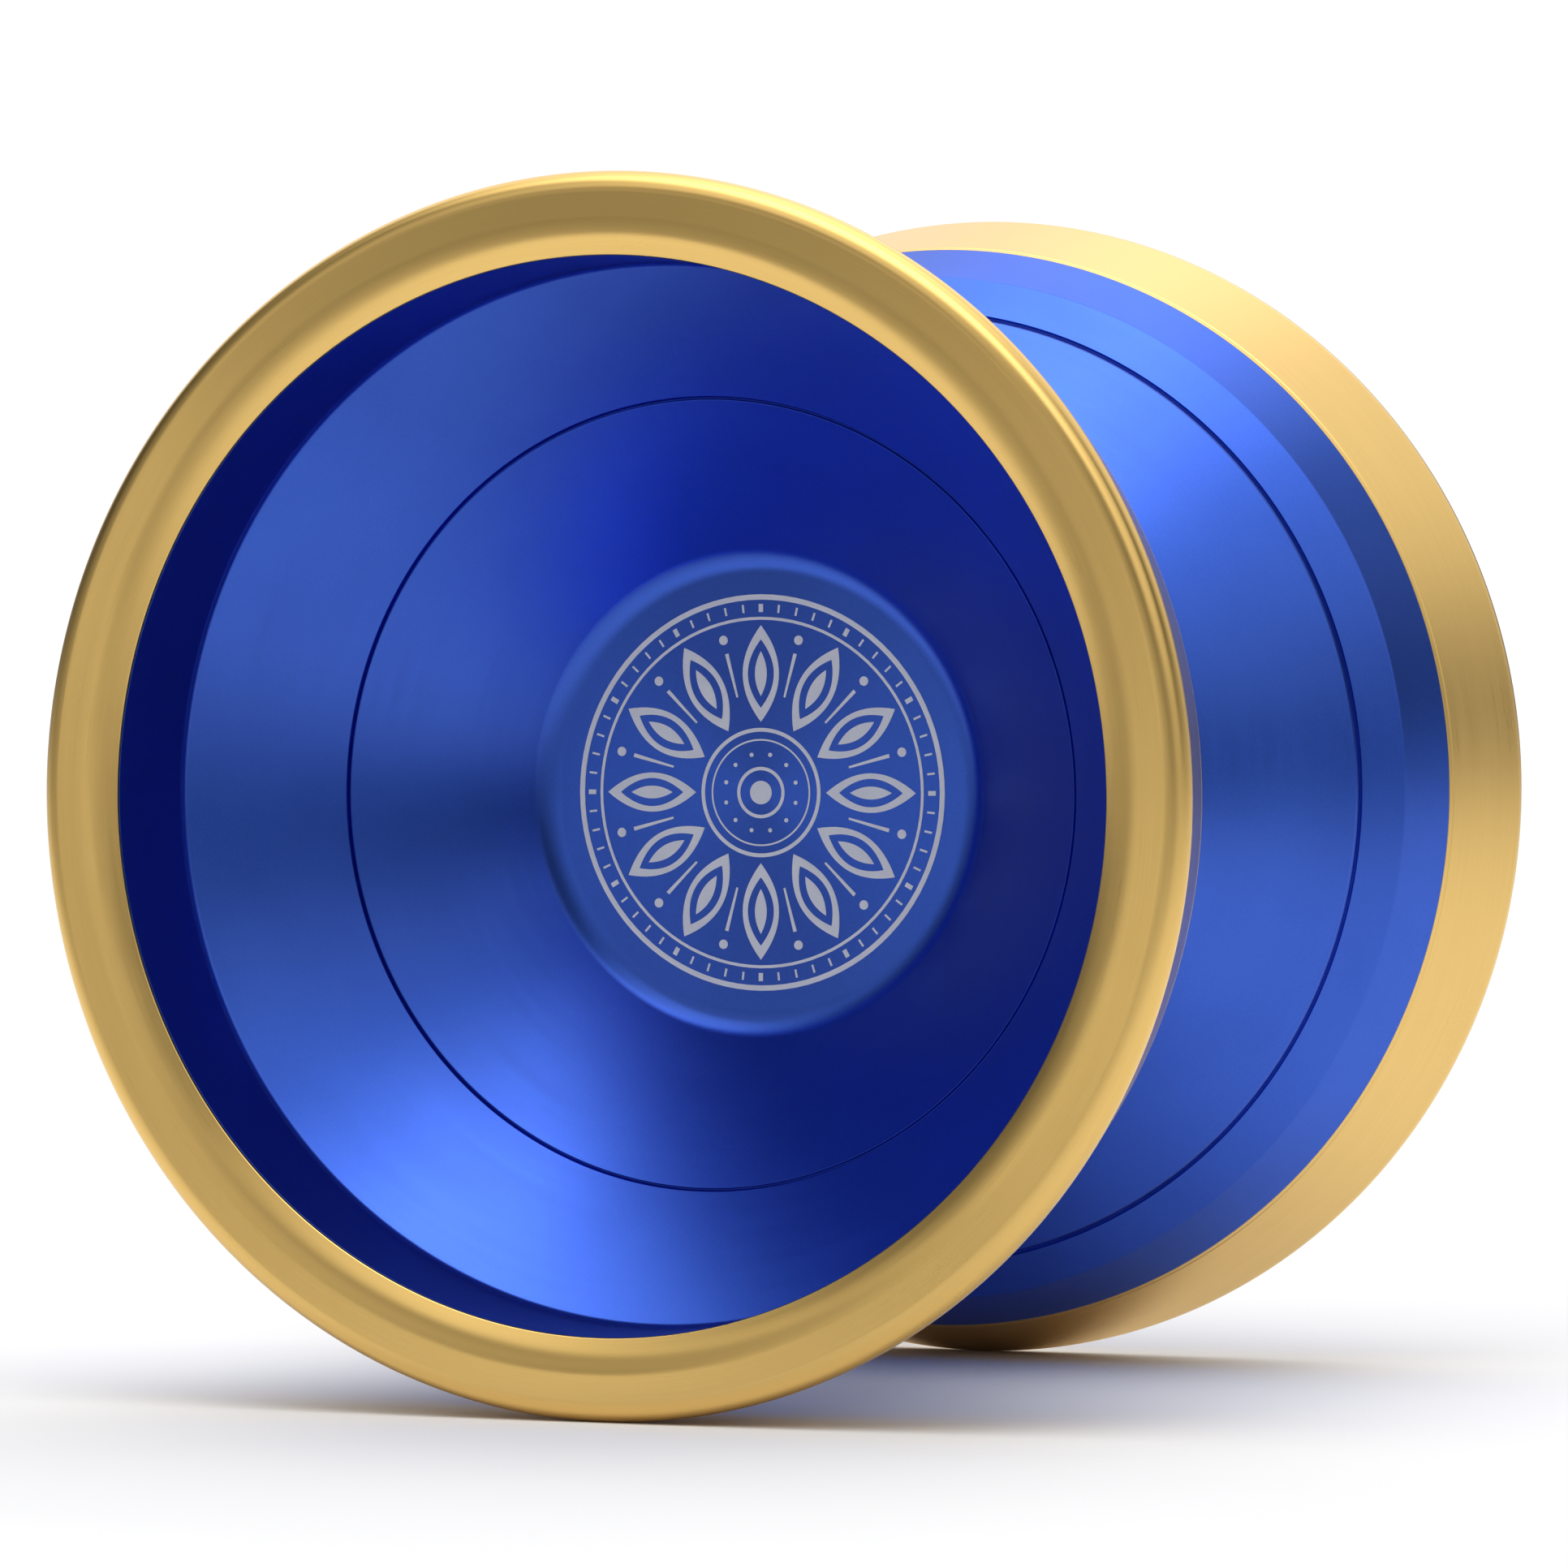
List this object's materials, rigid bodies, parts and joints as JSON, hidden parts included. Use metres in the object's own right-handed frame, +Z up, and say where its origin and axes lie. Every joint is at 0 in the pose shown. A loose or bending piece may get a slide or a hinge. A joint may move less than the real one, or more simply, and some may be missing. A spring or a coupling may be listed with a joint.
{
  "type": "yo-yo",
  "caption": "Two-metal ball-bearing yo-yo: two cupped anodised halves with gold-coloured rim rings, screwed together on a threaded axle through a shielded bearing.",
  "frame": {"origin": "centre of the ball bearing, which is the middle of the axle and of the whole yo-yo", "axes": "+Y along the axle from the left half to the right half, +Z up with both rims standing on a surface, +X across"},
  "size_m": [0.056, 0.0478, 0.056],
  "materials": {
    "blue_anodised": "satin blue anodised, bead blasted and turned",
    "gold_rim": "gold-coloured plated stainless steel, fine circular brushing",
    "silicone": "matte white silicone",
    "axle_steel": "plain steel thread",
    "bearing_steel": "ground and polished steel",
    "ball_steel": "mirror-polished steel",
    "cage_steel": "pressed steel strip",
    "shield_steel": "pressed steel sheet",
    "spring_steel": "spring steel wire"
  },
  "bodies": {
    "left_half": {"left_body": "blue_anodised", "left_rim": "gold_rim", "left_response_pad": "silicone", "axle": "axle_steel"},
    "bearing_inner": {"bearing_inner_race": "bearing_steel"},
    "right_half": {"right_body": "blue_anodised", "right_rim": "gold_rim", "right_response_pad": "silicone"},
    "bearing_outer": {"bearing_outer_race": "bearing_steel", "left_bearing_shield": "shield_steel", "right_bearing_shield": "shield_steel", "left_snap_ring": "spring_steel", "right_snap_ring": "spring_steel"},
    "cage": {"bearing_cage": "cage_steel"},
    "ball_1": {"bearing_ball_1": "ball_steel"},
    "ball_2": {"bearing_ball_2": "ball_steel"},
    "ball_3": {"bearing_ball_3": "ball_steel"},
    "ball_4": {"bearing_ball_4": "ball_steel"},
    "ball_5": {"bearing_ball_5": "ball_steel"},
    "ball_6": {"bearing_ball_6": "ball_steel"},
    "ball_7": {"bearing_ball_7": "ball_steel"},
    "ball_8": {"bearing_ball_8": "ball_steel"}
  },
  "joints": [
    {"name": "half_unscrew", "type": "hinge", "parent": "left_half", "child": "bearing_inner", "pos_m": [0, 0, 0], "axis": [0, 1, 0], "range_deg": [0, 1800]},
    {"name": "half_travel", "type": "slide", "parent": "bearing_inner", "child": "right_half", "axis": [0, 1, 0], "range_m": [0, 0.0036]},
    {"name": "bearing_spin", "type": "hinge", "parent": "bearing_inner", "child": "bearing_outer", "pos_m": [0, 0, 0], "axis": [0, 1, 0], "continuous": true},
    {"name": "cage_orbit", "type": "hinge", "parent": "bearing_inner", "child": "cage", "pos_m": [0, 0, 0], "axis": [0, 1, 0], "continuous": true},
    {"name": "ball_1_roll", "type": "hinge", "parent": "cage", "child": "ball_1", "pos_m": [0, 0, 0.00476], "axis": [0, 1, 0], "continuous": true},
    {"name": "ball_2_roll", "type": "hinge", "parent": "cage", "child": "ball_2", "pos_m": [0.00337, 0, 0.00337], "axis": [0, 1, 0], "continuous": true},
    {"name": "ball_3_roll", "type": "hinge", "parent": "cage", "child": "ball_3", "pos_m": [0.00476, 0, 0], "axis": [0, 1, 0], "continuous": true},
    {"name": "ball_4_roll", "type": "hinge", "parent": "cage", "child": "ball_4", "pos_m": [0.00337, 0, -0.00337], "axis": [0, 1, 0], "continuous": true},
    {"name": "ball_5_roll", "type": "hinge", "parent": "cage", "child": "ball_5", "pos_m": [0, 0, -0.00476], "axis": [0, 1, 0], "continuous": true},
    {"name": "ball_6_roll", "type": "hinge", "parent": "cage", "child": "ball_6", "pos_m": [-0.00337, 0, -0.00337], "axis": [0, 1, 0], "continuous": true},
    {"name": "ball_7_roll", "type": "hinge", "parent": "cage", "child": "ball_7", "pos_m": [-0.00476, 0, 0], "axis": [0, 1, 0], "continuous": true},
    {"name": "ball_8_roll", "type": "hinge", "parent": "cage", "child": "ball_8", "pos_m": [-0.00337, 0, 0.00337], "axis": [0, 1, 0], "continuous": true}
  ],
  "couplings": [
    {"joint": "half_travel", "follows": "half_unscrew", "m_per_rad": 0.00011141},
    {"joint": "cage_orbit", "follows": "bearing_spin", "ratio": 0.58333},
    {"joint": "ball_1_roll", "follows": "bearing_spin", "ratio": 2.9167},
    {"joint": "ball_2_roll", "follows": "bearing_spin", "ratio": 2.9167},
    {"joint": "ball_3_roll", "follows": "bearing_spin", "ratio": 2.9167},
    {"joint": "ball_4_roll", "follows": "bearing_spin", "ratio": 2.9167},
    {"joint": "ball_5_roll", "follows": "bearing_spin", "ratio": 2.9167},
    {"joint": "ball_6_roll", "follows": "bearing_spin", "ratio": 2.9167},
    {"joint": "ball_7_roll", "follows": "bearing_spin", "ratio": 2.9167},
    {"joint": "ball_8_roll", "follows": "bearing_spin", "ratio": 2.9167}
  ]
}
